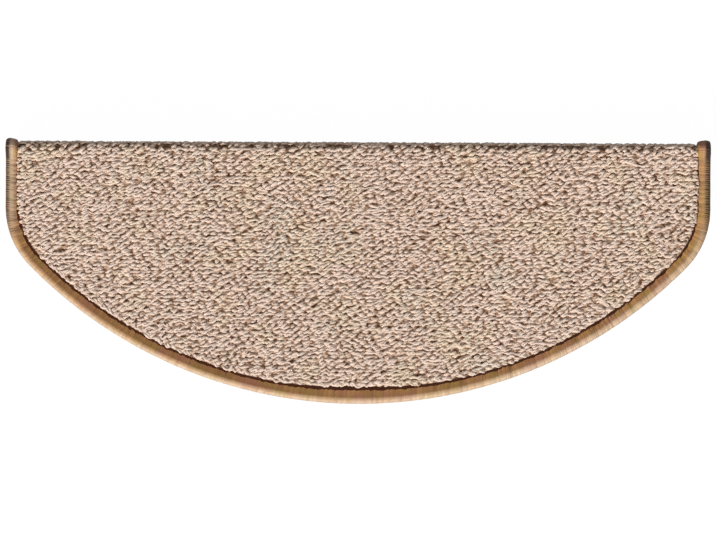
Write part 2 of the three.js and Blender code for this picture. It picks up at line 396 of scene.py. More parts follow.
class Nodes:
    """Short calls that add nodes to one material or world and link them."""

    def __init__(self, owner):
        owner.use_nodes = True
        self.owner = owner
        self.tree = owner.node_tree
        self.shader = self.tree.nodes.get("Principled BSDF")

    def add(self, kind, inputs=None, **settings):
        node = self.tree.nodes.new(kind)
        for name, value in settings.items():
            setattr(node, name, value)
        for name, value in (inputs or {}).items():
            self.put(value, node.inputs[name])
        return node

    def put(self, value, socket):
        if isinstance(value, bpy.types.NodeSocket):
            self.tree.links.new(value, socket)
        else:
            socket.default_value = value

    def set(self, **inputs):
        for name, value in inputs.items():
            self.put(value, self.shader.inputs[name.replace("_", " ")])

    def value(self, name):
        return self.add("ShaderNodeAttribute", attribute_name=name).outputs["Fac"]

    def place(self):
        return self.add("ShaderNodeTexCoord").outputs["Object"]

    def noise(self, vector, scale, detail=2.0, roughness=0.5):
        settings = {"Vector": vector, "Scale": scale, "Detail": detail, "Roughness": roughness}
        return self.add("ShaderNodeTexNoise", settings).outputs["Fac"]

    def stretched(self, vector, scales):
        """The vector, scaled by its own amount along each axis."""
        return self.add("ShaderNodeMapping", {"Vector": vector, "Scale": scales}).outputs["Vector"]

    def fibres(self, vector, scales):
        """Fine fibres that lie along the axis with the smallest scale."""
        return self.noise(self.stretched(vector, scales), scale=1.0, detail=3.0, roughness=0.65)

    def gloss(self, level):
        self.shader.inputs["Specular IOR Level"].default_value = level

    def math(self, operation, first, second=0.0):
        node = self.add("ShaderNodeMath", operation=operation)
        self.put(first, node.inputs[0])
        self.put(second, node.inputs[1])
        return node.outputs[0]

    def spread(self, value, low, high, to_low=0.0, to_high=1.0):
        settings = {
            "Value": value, "From Min": low, "From Max": high, "To Min": to_low, "To Max": to_high,
        }
        return self.add("ShaderNodeMapRange", settings).outputs["Result"]

    def mix(self, share, first, second, blend="MIX"):
        node = self.add("ShaderNodeMix", data_type="RGBA", blend_type=blend)
        self.put(share, node.inputs["Factor"])
        self.put(first, node.inputs[6])
        self.put(second, node.inputs[7])
        return node.outputs[2]

    def toned(self, colour, value, low, high, to_low, to_high):
        """The colour, darker or paler by a value's place between low and high."""
        tone = self.spread(value, low, high, to_low, to_high)
        return self.mix(1.0, colour, tone, blend="MULTIPLY")

    def mix_shader(self, share, first, second):
        node = self.add("ShaderNodeMixShader", {"Fac": share})
        self.put(first.outputs[0], node.inputs[1])
        self.put(second.outputs[0], node.inputs[2])
        return node

    def bump(self, height, distance, strength=1.0, normal=None):
        settings = {"Height": height, "Distance": distance, "Strength": strength}
        if normal is not None:
            settings["Normal"] = normal
        return self.add("ShaderNodeBump", settings).outputs["Normal"]


def rgb(red, green, blue):
    return (red, green, blue, 1.0)


def yarn_relief(nodes, twist, plies, depth):
    """A bump of twisted plies with fine fibres laid along them, and the fibres by themselves."""
    yarn_map = nodes.add("ShaderNodeUVMap", uv_map="yarn").outputs["UV"]
    parts = nodes.add("ShaderNodeSeparateXYZ", {"Vector": yarn_map}).outputs
    turn = nodes.math("ADD", nodes.math("MULTIPLY", parts["X"], 1.0 / twist), parts["Y"])
    wave = nodes.math("SINE", nodes.math("MULTIPLY", turn, plies * math.pi))
    rounds = nodes.math("ABSOLUTE", wave)
    fibres = nodes.fibres(yarn_map, (700.0, 9.0, 1.0))
    fibre_depth = 0.35 * depth
    plied = nodes.bump(rounds, depth)
    return nodes.bump(fibres, fibre_depth, normal=plied), fibres


def pile_material(name):
    """The pile's yarn, or the loose fibres of the bed between the yarns, with broad yellowish and
    greyish patches. Painted shade darkens it from pale crowns through brown legs to dark roots."""
    pink = rgb(0.772, 0.602, 0.496)
    yellow = rgb(0.772, 0.612, 0.462)
    grey = rgb(0.727, 0.607, 0.492)
    legs_painted_shade = rgb(0.555, 0.360, 0.240)
    roots_painted_shade = rgb(0.12, 0.048, 0.018)
    nodes = Nodes(bpy.data.materials.new(name))
    place = nodes.place()
    rise = nodes.value("rise")
    if name == "pile_yarn":
        normal, fibres = yarn_relief(nodes, twist=0.0060, plies=2, depth=0.00022)
    else:
        fibres = nodes.fibres(place, (260.0, 900.0, 900.0))
        normal = nodes.bump(fibres, distance=0.0006)
        clumped = nodes.stretched(place, (240.0, 430.0, 430.0))
        clumps = nodes.noise(clumped, scale=1.0, detail=2.0)
        clumps = nodes.spread(clumps, low=0.38, high=0.62, to_low=-0.13, to_high=0.21)
        rise = nodes.math("ADD", rise, clumps)
    yellowish = nodes.spread(nodes.noise(place, scale=26.0, detail=2.5), low=0.50, high=0.64)
    greyish = nodes.noise(place, scale=19.0, detail=2.0, roughness=0.6)
    greyish = nodes.spread(greyish, low=0.56, high=0.70)
    colour = nodes.mix(yellowish, pink, yellow)
    colour = nodes.mix(greyish, colour, grey)
    colour = nodes.toned(colour, nodes.value("tint"), low=0.0, high=1.0, to_low=0.84, to_high=1.12)
    colour = nodes.toned(colour, fibres, low=0.3, high=0.7, to_low=0.88, to_high=1.07)
    # Painted shade: the colour darkens with less rise, to brown at the legs and dark at the roots
    colour = nodes.mix(nodes.spread(rise, low=0.20, high=0.65), legs_painted_shade, colour)
    colour = nodes.mix(nodes.spread(rise, low=0.05, high=0.35), roots_painted_shade, colour)
    nodes.set(Base_Color=colour, Roughness=0.92, Normal=normal)
    nodes.set(Sheen_Weight=0.12, Sheen_Roughness=0.6)
    nodes.gloss(0.15)
    return nodes.owner


def ground_material():
    """A very dark brown weave, seen only between the loops and beside the edge yarn: partly its own
    colour, partly painted shade for the narrow crevices where it shows.
    """
    threads_per_metre = 900.0
    dark = rgb(0.030, 0.008, 0.003)
    brown = rgb(0.075, 0.026, 0.012)
    nodes = Nodes(bpy.data.materials.new("woven_ground"))
    place = nodes.place()
    weave = nodes.add("ShaderNodeTexChecker", {"Vector": place, "Scale": threads_per_metre})
    woven = nodes.bump(weave.outputs["Fac"], distance=0.0003, strength=0.6)
    colour = nodes.mix(nodes.noise(place, threads_per_metre, detail=3.0), dark, brown)
    nodes.set(Base_Color=colour, Roughness=0.95, Normal=woven)
    nodes.gloss(0.1)
    return nodes.owner


def binding_material():
    """Golden brown yarn with reddish and golden patches, duller and darker over the nosing, partly
    by painted shade, with a painted highlight on its rim and crest, and painted shade on its outer
    sides, most of all in the creases between the turns."""
    dark = rgb(0.310, 0.150, 0.054)
    bright = rgb(0.540, 0.275, 0.104)
    red = rgb(0.430, 0.190, 0.100)
    golden = rgb(0.400, 0.235, 0.062)
    dull_and_shaded = rgb(0.275, 0.118, 0.094)
    painted_highlight = rgb(0.850, 0.705, 0.525)
    painted_shade_colour = rgb(0.045, 0.024, 0.014)
    crease_side = 0.25
    nodes = Nodes(bpy.data.materials.new("edge_yarn"))
    place = nodes.place()
    normal, fibres = yarn_relief(nodes, twist=0.0060, plies=2, depth=0.00010)
    reddish = nodes.spread(nodes.noise(place, scale=52.0, detail=2.0), low=0.50, high=0.64)
    shining = nodes.noise(place, scale=70.0, detail=1.0)
    shining = nodes.spread(shining, low=0.52, high=0.66, to_high=0.8)
    # Painted highlight: the rim and the crest are mixed toward a pale colour
    painted_highlight_share = nodes.math("MULTIPLY", nodes.value("painted_highlight"), PAINTED_HIGHLIGHT_STRENGTH)
    # Painted shade on the outer sides, deepest in the creases between the turns
    yarn_map = nodes.add("ShaderNodeUVMap", uv_map="yarn").outputs["UV"]
    round_yarn = nodes.add("ShaderNodeSeparateXYZ", {"Vector": yarn_map}).outputs["Y"]
    crease = nodes.math("PINGPONG", round_yarn, crease_side)
    crease = nodes.spread(crease, low=0.220, high=0.180, to_low=0.55, to_high=1.30)
    painted_shade = nodes.math("MULTIPLY", crease, SIDE_SHADE)
    painted_shade = nodes.math("MULTIPLY", nodes.value("shade"), painted_shade)
    colour = nodes.mix(nodes.value("tint"), dark, bright)
    colour = nodes.mix(reddish, colour, red)
    colour = nodes.mix(shining, colour, golden)
    # Duller and darker over the nosing, partly painted shade
    colour = nodes.mix(nodes.value("dull_and_shaded"), colour, dull_and_shaded)
    colour = nodes.mix(painted_highlight_share, colour, painted_highlight)
    colour = nodes.mix(painted_shade, colour, painted_shade_colour)
    colour = nodes.toned(colour, fibres, low=0.3, high=0.7, to_low=0.76, to_high=1.14)
    nodes.set(Base_Color=colour, Roughness=0.60, Normal=normal)
    nodes.set(Sheen_Weight=0.03, Sheen_Roughness=0.5)
    nodes.gloss(0.20)
    return nodes.owner


def core_material():
    """Dark brown fibres, seen only in the cracks between the turns."""
    dark = rgb(0.075, 0.032, 0.014)
    brown = rgb(0.19, 0.095, 0.045)
    nodes = Nodes(bpy.data.materials.new("binding_core"))
    grain = nodes.noise(nodes.place(), scale=1200.0, detail=3.0)
    colour = nodes.mix(grain, dark, brown)
    nodes.set(Base_Color=colour, Roughness=0.9, Normal=nodes.bump(grain, distance=0.0003))
    nodes.gloss(0.1)
    return nodes.owner


def backing_material():
    """Foamed rubber with a fine pebbled grip, painted shade between the pebbles, and a few
    paler, scuffed patches.
    """
    rubber = rgb(0.055, 0.051, 0.047)
    scuffed = rgb(0.100, 0.094, 0.087)
    painted_crevice_shade = rgb(0.030, 0.028, 0.026)
    pebbles_per_metre = 330.0
    nodes = Nodes(bpy.data.materials.new("grip_rubber"))
    place = nodes.place()
    pebbles = nodes.add("ShaderNodeTexVoronoi", {"Vector": place, "Scale": pebbles_per_metre})
    from_middle = pebbles.outputs["Distance"]
    patches = nodes.spread(nodes.noise(place, scale=22.0, detail=3.0), low=0.35, high=0.7)
    colour = nodes.mix(patches, rubber, scuffed)
    # Painted shade: darker away from the middle of each pebble
    colour = nodes.mix(nodes.spread(from_middle, low=0.0, high=0.6), colour, painted_crevice_shade)
    domed = nodes.bump(nodes.math("SUBTRACT", 1.0, from_middle), distance=0.0006, strength=0.8)
    grain = nodes.noise(place, scale=1500.0, detail=3.0)
    nodes.set(Base_Color=colour, Roughness=0.78)
    nodes.set(Normal=nodes.bump(grain, distance=0.0001, normal=domed))
    nodes.gloss(0.35)
    return nodes.owner


# The pile

def row_places():
    """Where the rows lie along the sheet, from the end of the flap to the curve."""
    last = curve_end - BINDING_WIDTH - APEX_PILE_EXTRA
    last = last - PILE_GAP_AT_CURVE - PLY_HALF_WIDTH - PLY_PARTING
    first = flap_end + BINDING_WIDTH + PILE_GAP_AT_CURVE + PLY_HALF_WIDTH + PLY_PARTING
    tread = np.linspace(LAST_TREAD_ROW, last, 1 + round((last - LAST_TREAD_ROW) / ROW_PITCH))
    flap = np.linspace(first, FIRST_FLAP_ROW, 1 + round((FIRST_FLAP_ROW - first) / ROW_PITCH))
    return np.concatenate([flap, tread])


def wander(count, change):
    """A smooth random course along a row, of about the amount that the change gives and with swings
    of about its size."""
    amount, size = change
    spare_knots = 5
    knots = rng.normal(0, 1, int(count * YARN_STEP / size) + spare_knots)
    at = np.arange(count) * YARN_STEP / size + rng.uniform(0, 1)
    left = np.floor(at).astype(int)
    share = at - left
    share = share * share * (3 - 2 * share)
    return amount * (knots[left] * (1 - share) + knots[left + 1] * share)


def looped_plies(along, u, v, phase):
    """The two plies of a yarn that runs in loops through the places (u, v), with the distance along
    it at each: how far they lie to its side, how high they stand and how thick they are."""
    count = len(along)
    loops = 2 * math.pi * along / LOOP_PITCH + phase
    loops = loops + wander(count, LOOP_DRIFT)
    loops = loops + soft_field(u, v, BROAD_DRIFT, seed=5) + soft_field(u, v, LOCAL_DRIFT, seed=9)
    deepest = np.clip(LOOP_DIP + wander(count, DIP_CHANGE), *DIP_LIMITS)
    slip = wander(count, PLY_SLIP)
    top = crown - PLY_HALF_HEIGHT - PLY_CROSSING
    lift = wander(count, CREST_CHANGE) + soft_field(u, v, BROAD_CREST_CHANGE, seed=6)
    slant = LOOP_SLANT * (USUAL_SLANT + soft_field(u, v, SLANT_CHANGE, seed=10))
    here_and_there = np.clip(wander(count, SUNK_CHANGE), 0, 1)
    sunk = SUNK_DEPTH * near(v, FIRST_FLAP_ROW, SUNK_SPREAD) * here_and_there
    middle = wander(count, ROW_WANDER) + slant * np.sin(loops)
    from_end = np.minimum(along - along[0], along[-1] - along)
    tucked = np.clip(1 - from_end / END_TUCK, 0, 1) ** END_TUCK_SHARPNESS
    twist = 2 * math.pi * along / TWIST_PITCH + wander(count, TWIST_DRIFT)
    sideways, heights, thick = [], [], []
    for side in (-1, 1):
        pull = (0.5 - 0.5 * np.cos(loops + side * slip)) ** DIP_SHARPNESS
        parting = PARTING_ON_CREST - PARTING_LOST_IN_DIP * pull + wander(count, PARTING_CHANGE)
        parting = PLY_PARTING * parting
        sway = side * parting * np.sin(twist) + wander(count, PLY_SWAY)
        own = np.minimum(top + lift, top) - sunk - pull * deepest
        own = own + side * PLY_CROSSING * np.cos(twist)
        own = own + (ground_top + PLY_HALF_HEIGHT - own) * tucked
        sideways.append(middle + sway)
        heights.append(own)
        usual = THICKNESS_ON_CREST - THICKNESS_LOST_IN_DIP * pull
        thick.append(usual + wander(count, THICKNESS_CHANGE))
    return np.array(sideways), np.array(heights), np.clip(thick, *THICKNESS_LIMITS)


def ply_tubes(plies, thick):
    along = np.gradient(plies, axis=1)
    across = unit(np.stack([-along[..., 1], along[..., 0], np.zeros(along.shape[:2])], axis=-1))
    return tubes(plies, across, PLY_HALF_WIDTH * thick, PLY_HALF_HEIGHT * thick, PLY_SIDES)


def row_yarn(row, v):
    """The points round the two plies of one row as (ply, station, side, uvh), or nothing where
    the row is too short."""
    faces_side = np.clip((corner_v + SIDES_END - v) / SIDES_FADE, 0, 1)
    gap = PILE_GAP_AT_CURVE + (PILE_GAP_AT_SIDES - PILE_GAP_AT_CURVE) * faces_side
    row_half_width = 2.5 * PLY_HALF_WIDTH
    outer_side = v + row_half_width * (1 - faces_side)
    end = float(half_width_at(outer_side, BINDING_WIDTH + gap))
    if end < LOOP_PITCH:
        return None
    count = max(FEWEST_STEPS, round(2 * end / YARN_STEP))
    right_end, left_end = end + rng.uniform(*ROW_END_SCATTER, 2) - (RIGHT_EXTRA * faces_side, 0)
    share = np.linspace(-1, 1, count)
    u = np.where(share > 0, share * left_end, share * right_end)
    sideways, heights, thick = looped_plies(u, u, v, math.pi * row)
    plies = np.stack([np.broadcast_to(u, heights.shape), v + sideways, heights], axis=-1)
    return ply_tubes(plies, thick)


def curve_yarn():
    """The outermost loops, which run along the curve beside the edge yarn and close the steps
    between the ends of the rows."""
    inset = BINDING_WIDTH + PILE_GAP_AT_CURVE + PLY_HALF_WIDTH + PLY_PARTING
    length = (CURVE_RADIUS - inset) * (math.pi - 2 * curve_start)
    angle = np.linspace(curve_start, math.pi - curve_start, round(length / YARN_STEP))
    out = np.stack([np.cos(angle), np.sin(angle)], axis=-1)
    base = np.array([0, curve_v]) + (CURVE_RADIUS - inset) * out
    base = base - out * APEX_PILE_EXTRA * apex_share(*base.T)[:, None]
    along = (CURVE_RADIUS - inset) * (angle - curve_start)
    sideways, heights, thick = looped_plies(along, *base.T, 0.0)
    spots = base + out * sideways[..., None]
    return ply_tubes(np.concatenate([spots, heights[..., None]], axis=-1), thick)


def pile_panel(name, yarns, material):
    """One piece from the yarns of a stretch of the mat."""
    points, walls, caps, rises, tints, maps = [], [], [], [], [], []
    start = 0
    for own in yarns:
        plies, stations, sides = own.shape[:3]
        own_walls, own_caps = tube_faces(plies, stations, sides)
        walls.append(own_walls + start)
        caps.append(own_caps + start)
        start += plies * stations * sides
        points.append(folded(own).reshape(-1, 3))
        rise = (own[..., 2] - ground_top) / (crown - ground_top)
        # Painted shade over the nosing: the rise that the material reads is lowered there
        rise = rise - NOSING_SHADE * near(own[..., 1], NOSING_PLACE, NOSING_SPREAD)
        rises.append(np.clip(rise, 0, 1).ravel())
        tint = np.stack([wander(stations, TINT_CHANGE) for _ in range(plies)])
        tint = np.clip(0.5 + tint, 0, 1)
        tints.append(np.broadcast_to(tint[..., None], own.shape[:3]).ravel())
        maps.append(yarn_map(plies, stations, sides, YARN_STEP * stations))
    faces = [np.concatenate(walls), np.concatenate(caps)]
    piece = make_piece(name, np.concatenate(points), faces, material)
    add_value(piece, "rise", np.concatenate(rises))
    add_value(piece, "tint", np.concatenate(tints))
    set_yarn_map(piece, np.concatenate(maps), faces[1].size)
    return piece


def build_pile(material):
    """The pile in four panels, each with the rows from where the last one ends."""
    panel_ends = {
        "pile_flap_and_nosing": 0.040,
        "pile_front_of_tread": 0.095,
        "pile_middle_of_tread": 0.155,
        "pile_back_of_tread": curve_end,
    }
    rows = row_places()
    pieces = []
    low = flap_end
    for name, high in panel_ends.items():
        inside = np.flatnonzero((rows >= low) & (rows < high))
        yarns = [row_yarn(row, rows[row]) for row in inside]
        if high == curve_end:
            yarns.append(curve_yarn())
        pieces.append(pile_panel(name, [own for own in yarns if own is not None], material))
        low = high
    return pieces


def sheet_grid(step, inset):
    """A grid of (u, v) over the flat sheet, row by row, that ends a distance inside its edge. It
    stops just short of the curve's crown, where a row would have no width."""
    rounded_rows = 6
    short_of_crown = 0.0007
    least_width = 0.001
    end = flap_end + inset
    last = curve_end - inset
    turn = np.linspace(0, math.pi / 2, rounded_rows)
    rounded = end + (FLAP_CORNER_RADIUS - inset) * (1 - np.cos(turn))
    count = round((last - rounded[-1]) / step)
    even = np.linspace(rounded[-1], last - short_of_crown, count)
    v = np.concatenate([rounded[:-1], even])
    width = np.maximum(half_width_at(v, inset), least_width)
    columns = round(2 * half_width / step)
    u = width[:, None] * np.linspace(-1, 1, columns)[None, :]
    return u, np.broadcast_to(v[:, None], u.shape)


def slab(name, u, v, top, bottom, material):
    """A closed slab over a grid of the sheet, between two heights."""
    rows, columns = u.shape
    index = np.arange(rows * columns).reshape(rows, columns)
    low = index + rows * columns
    upper = np.stack([index[:-1, :-1], index[:-1, 1:], index[1:, 1:], index[1:, :-1]], axis=-1)
    lower = np.stack([low[:-1, :-1], low[1:, :-1], low[1:, 1:], low[:-1, 1:]], axis=-1)
    rim = np.concatenate([index[0, :], index[1:, -1], index[-1, -2::-1], index[-2:0:-1, 0]])
    after = np.roll(rim, -1)
    shift = rows * columns
    wall = np.stack([rim, rim + shift, after + shift, after], axis=-1)
    layers = [np.stack([u, v, np.broadcast_to(h, u.shape)], axis=-1) for h in (top, bottom)]
    points = np.stack(layers)
    faces = [upper.reshape(-1, 4), lower.reshape(-1, 4), wall]
    return make_piece(name, folded(points).reshape(-1, 3), faces, material)


def build_ground(material):
    """The woven ground as a slab that follows the fold, with its rim under the edge yarn."""
    u, v = sheet_grid(GROUND_STEP, EDGE_TO_GROUND)
    return slab("woven_ground", u, v, ground_top, BACKING + GROUND_GAP, material)


def build_bed(material):
    """The legs and fibres between the yarns, as an uneven bed on the ground."""
    drawn_in_over, drawn_in_from = 0.03, 0.045
    bare_rim, rim_slope = 0.002, 0.003
    u, v = sheet_grid(BED_STEP, BED_INSET)
    to_curve = np.clip((v - curve_end + drawn_in_from) / drawn_in_over, 0, 1)
    v = v - APEX_PILE_EXTRA * apex_share(u, v) * to_curve
    over_fold = near(v, -fold_length / 2, BED_FOLD_SPREAD)
    from_rim = half_width_at(v, BINDING_WIDTH) - np.abs(u)
    from_rim = np.minimum(from_rim, curve_end - BINDING_WIDTH - APEX_PILE_EXTRA - v)
    height = 0.5 + soft_field(u, v, BED_LUMPS, seed=31, waves=40)
    height = height + soft_field(u, v, BED_BROAD_LUMPS, seed=32, waves=24)
    height = np.clip(height, 0, 1) * BED_DEPTH * (1 - BED_FOLD_LOSS * over_fold)
    height = BED_LEAST + height * np.clip((from_rim - bare_rim) / rim_slope, 0, 1)
    bottom = ground_top - BED_SINK
    piece = slab("pile_bed", u, v, ground_top + height, bottom, material)
    # Painted shade: the bed reads less rise than its height gives, so it is coloured darker
    rise = BED_RISE_SHARE * height.ravel() / (crown - ground_top)
    rise = np.concatenate([rise, np.zeros(height.size)])
    add_value(piece, "rise", np.clip(rise, 0, 1))
    add_value(piece, "tint", np.full(2 * height.size, BED_TINT))
    return piece


# The edge yarn

def wrap_section():
    """The way of one turn of yarn: from the pile over the top, round the cut edge and back under
    the mat, as distances outward and heights."""
    top = ground_top + BINDING_RISE - WRAP_HALF_HEIGHT
    inner_end, inner_depth = TURN_INNER_END
    marks = [(-inner_end * BINDING_WIDTH, ground_top - inner_depth)]
    marks += [(-share * BINDING_WIDTH, top - depth) for share, depth in TURN_ON_TOP]
    marks += [(-WRAP_HALF_HEIGHT, EDGE_HEIGHT_SHARE * top)]
    marks += [
        (-share * BINDING_WIDTH, WRAP_HALF_HEIGHT + height) for share, height in TURN_UNDERNEATH
    ]
    marks = np.array(marks)
    reach = np.concatenate([[0], np.cumsum(np.linalg.norm(np.diff(marks, axis=0), axis=1))])
    wanted = np.linspace(0, reach[-1], WRAP_STATIONS)
    return np.stack([np.interp(wanted, reach, marks[:, k]) for k in (0, 1)], axis=-1)


def core_section():
    """The section of the core under the turns, as distances outward and heights."""
    top = ground_top + BINDING_RISE - CORE_SINK
    inner = CORE_ON_TOP[0][0] * BINDING_WIDTH
    marks = [(-inner, BACKING - CORE_FOOT)]
    marks += [(-share * BINDING_WIDTH, top - depth) for share, depth in CORE_ON_TOP]
    marks += [(-CORE_SINK, EDGE_HEIGHT_SHARE * top)]
    share, height = CORE_UNDERNEATH
    marks += [(-share * BINDING_WIDTH, height)]
    return np.array(marks)


def bulge_at(v):
    return FOLD_BULGE * near(v, -fold_length / 2, FOLD_BULGE_REACH)


def wrap_places():
    """Where the turns of yarn stand along the edge: closer together over the fold."""
    places, outs = edge_line()
    step = np.linalg.norm(np.roll(places, -1, axis=0) - places, axis=1)
    crowding = 1 + (FOLD_CROWDING - 1) * bulge_at(places[:, 1]) / FOLD_BULGE
    travelled = np.concatenate([[0], np.cumsum(step * crowding)])
    count = 2 * round(travelled[-1] / WRAP_PITCH / 2)
    paired = np.where(np.arange(count) % 2, PAIRING, -PAIRING)
    scatter = rng.normal(0, PITCH_SCATTER, count)
    wanted = (np.arange(count) + 0.5 + paired + scatter) / count
    wanted = np.clip(wanted, 0, 1) * travelled[-1]
    closed = np.concatenate([places, places[:1]])
    spot = np.stack([np.interp(wanted, travelled, closed[:, k]) for k in (0, 1)], axis=-1)
    closed = np.concatenate([outs, outs[:1]])
    out = unit(np.stack([np.interp(wanted, travelled, closed[:, k]) for k in (0, 1)], axis=-1))
    return spot, out


def widened(outward, u, v):
    """The section's outward distances, drawn further in along the curve, most at its middle, and a
    little on the right of the picture."""
    right_fade, curve_fade = 0.06, 0.03
    outer_half, most_inward = 0.5, 1.2
    inward = (-outward / BINDING_WIDTH - outer_half) / (1 - outer_half)
    inward = np.clip(inward, 0, most_inward)
    to_right = RIGHT_EXTRA * np.clip((-u - corner_u) / right_fade, 0, 1)
    to_curve = CURVE_EXTRA * np.clip((v - corner_v) / curve_fade, 0, 1)
    extra = APEX_EXTRA * apex_share(u, v) + np.maximum(to_right, to_curve)
    return outward - extra * inward


def raised(section, v):
    """The section's heights where the yarn is built up over the fold: all of its top rises, its
    lower places a little more than its crest, and its innermost end stays down."""
    inner_fade, deepest_hollow, hollow_gain = 0.03, 0.003, 0.65
    foot, foot_fade = 0.4 * ground_top, 0.3 * ground_top
    height = section[..., 1]
    tucked_in = np.clip((-section[..., 0] / BINDING_WIDTH - 1) / inner_fade, 0, 1)
    on_top = np.clip((height - foot) / foot_fade, 0, 1) * (1 - tucked_in)
    crest = ground_top + BINDING_RISE - WRAP_HALF_HEIGHT
    hollow = np.clip(crest - height, 0, deepest_hollow)
    return height + on_top * bulge_at(v) * (1 + hollow_gain * hollow / FOLD_BULGE)


def turn_paths(spot, out):
    """The middle line of each turn of yarn as (turn, station, uvh), the direction of its wide side
    and the distance outward of each station."""
    loose_at_curve, looser_at_sides = 0.3, 0.7
    half_wave = 3
    count = len(spot)
    section = np.broadcast_to(wrap_section(), (count, WRAP_STATIONS, 2))
    share = np.linspace(0, 1, WRAP_STATIONS)[None, :]
    tucked = rng.normal(0, TUCK_SCATTER, count)[:, None] * np.clip(1 - TUCK_FADE * share, 0, 1)
    outward = widened(section[..., 0], spot[:, None, 0], spot[:, None, 1]) + tucked
    loose = loose_at_curve + looser_at_sides * np.abs(out[:, 0])
    lumps = soft_field(*spot.T, TURN_LUMPS, seed=41) + rng.normal(0, TURN_HEIGHT_SCATTER, count)
    lumps = loose * lumps
    height = raised(section, spot[:, None, 1]) + lumps[:, None] * (share < TOP_SHARE)
    lean = rng.normal(0, TURN_LEAN_SCATTER, count)[:, None] * np.sin(half_wave * share)
    slant = WRAP_SLANT * (0.5 - share) + lean
    along = np.stack([-out[:, 1], out[:, 0]], axis=-1)
    places = spot[:, None] + out[:, None] * outward[..., None] + along[:, None] * slant[..., None]
    paths = np.concatenate([places, height[..., None]], axis=-1)
    across = np.concatenate([along, np.zeros((count, 1))], axis=1)[:, None]
    return paths, np.broadcast_to(across, paths.shape), outward


def turn_colours(spot, out, outward):
    """What the binding's material reads at each station of each turn: its tint, and how dull and
    shaded it is over the nosing, how much painted shade it takes and how much painted highlight."""
    varied_at_curve, more_at_sides = 0.7, 0.3
    count = len(spot)
    share = np.linspace(0, 1, WRAP_STATIONS)[None, :]
    on_left = out[:, 0] > 0
    varied = varied_at_curve + more_at_sides * np.abs(out[:, 0])
    scatter = TURN_TINT_SCATTER * rng.normal(0, 1, count)
    tint = np.clip(0.5 + varied * (scatter + soft_field(*spot.T, TURN_TINTS, seed=21)), 0, 1)
    # Duller and darker over the nosing: partly the yarn's own tone, partly painted shade
    on_nosing = np.clip((DULL_AND_SHADED_BAND[1] - spot[:, 1]) / DULL_AND_SHADED_FADES[1], 0, 1)
    above_flap = np.clip((spot[:, 1] - DULL_AND_SHADED_BAND[0]) / DULL_AND_SHADED_FADES[0], 0, 1)
    to_side = np.abs(out[:, 0]) * np.clip(1 - out[:, 1] / SIDE_TURN_END, 0, 1)
    to_side = to_side[:, None]
    to_curve = np.clip((out[:, 1] - CURVE_TURN_START) / CURVE_TURN_LENGTH, 0, 1)[:, None]
    # Painted shade on the outer sides, reaching further in on the right of the picture, away from
    # the light, and a little along the middle of the band round the curve
    shade_start = np.where(on_left, *SHADE_STARTS)[:, None]
    hollow = near(outward, HOLLOW_PLACE, HOLLOW_SPREAD) * (share < TOP_SHARE)
    side_shade = to_side * np.clip((outward - shade_start) / SHADE_FADE, 0, 1)
    # Painted highlight on the rim along the curve, which faces the light, and on the crest along
    # the sides, stronger on the left of the picture, where the light comes from
    crest = near(outward, CREST_PLACE, CREST_SPREAD) * (share < TOP_SHARE)
    crest_highlight = np.where(on_left, *CREST_HIGHLIGHT)[:, None]
    rim_start = RIM_PLACE + RIM_LEAN * out[:, :1]
    rim = np.clip((outward - rim_start) / RIM_FADE, 0, 1)
    uneven = 1 + RIM_SCATTER * rng.normal(0, 1, count)[:, None]
    return {
        "tint": tint[:, None],
        "dull_and_shaded": DULL_AND_SHADED_SHARE * (on_nosing * above_flap)[:, None],
        "shade": side_shade + HOLLOW_SHADE * to_curve * hollow,
        "painted_highlight": to_curve * rim * uneven + crest_highlight * to_side * crest,
    }


def build_wraps(material):
    """The edge yarn, turn by turn."""
    spot, out = wrap_places()
    count = len(spot)
    paths, across, outward = turn_paths(spot, out)
    thick = rng.uniform(*TURN_THICKNESS, count)[:, None] * np.ones((1, WRAP_STATIONS))
    points = tubes(paths, across, WRAP_HALF_WIDTH * thick, WRAP_HALF_HEIGHT * thick, WRAP_SIDES)
    faces = tube_faces(count, WRAP_STATIONS, WRAP_SIDES)
    piece = make_piece("edge_yarn", folded(points).reshape(-1, 3), faces, material)
    for name, values in turn_colours(spot, out, outward).items():
        add_value(piece, name, np.broadcast_to(values[..., None], points.shape[:3]))
    walls = yarn_map(count, WRAP_STATIONS, WRAP_SIDES, YARN_IN_TURN)
    set_yarn_map(piece, walls, faces[1].size)
    return piece


def build_core(material):
    """What the turns of yarn lie on, so that no light passes between them."""
    places, outs = edge_line(CORE_STEP)
    section = core_section()
    count, size = len(places), len(section)
    sections = np.broadcast_to(section, (count, size, 2))
    outward = widened(sections[..., 0], places[:, None, 0], places[:, None, 1])
    height = raised(sections, places[:, None, 1])
    around = places[:, None] + outs[:, None] * outward[..., None]
    points = folded(np.concatenate([around, height[..., None]], axis=-1)).reshape(-1, 3)
    index = np.arange(count * size).reshape(count, size)
    after = np.roll(index, -1, axis=1)
    following = np.roll(index, -1, axis=0)
    walls = np.stack([index, after, np.roll(following, -1, axis=1), following], axis=-1)
    return make_piece("edge_core", points, [walls.reshape(-1, 4)], material)


# The stage

def resting_line(pieces):
    """The straight line, in y and z, that the underside of the mat rests on."""
    points = []
    for piece in pieces:
        flat = np.empty(3 * len(piece.data.vertices), np.float32)
        piece.data.vertices.foreach_get("co", flat)
        points.append(flat.reshape(-1, 3)[:, 1:])
    points = np.unique(np.round(np.concatenate(points), 5), axis=0)
    hull = []
    for point in points:
        while len(hull) > 1:
            first, second = hull[-1] - hull[-2], point - hull[-2]
            if first[0] * second[1] - first[1] * second[0] > 0:
                break
            hull.pop()
        hull.append(point)
    for start, end in zip(hull, hull[1:]):
        if start[0] <= 0 < end[0]:
            return start, end
    raise RuntimeError("the mat has no line to rest on")


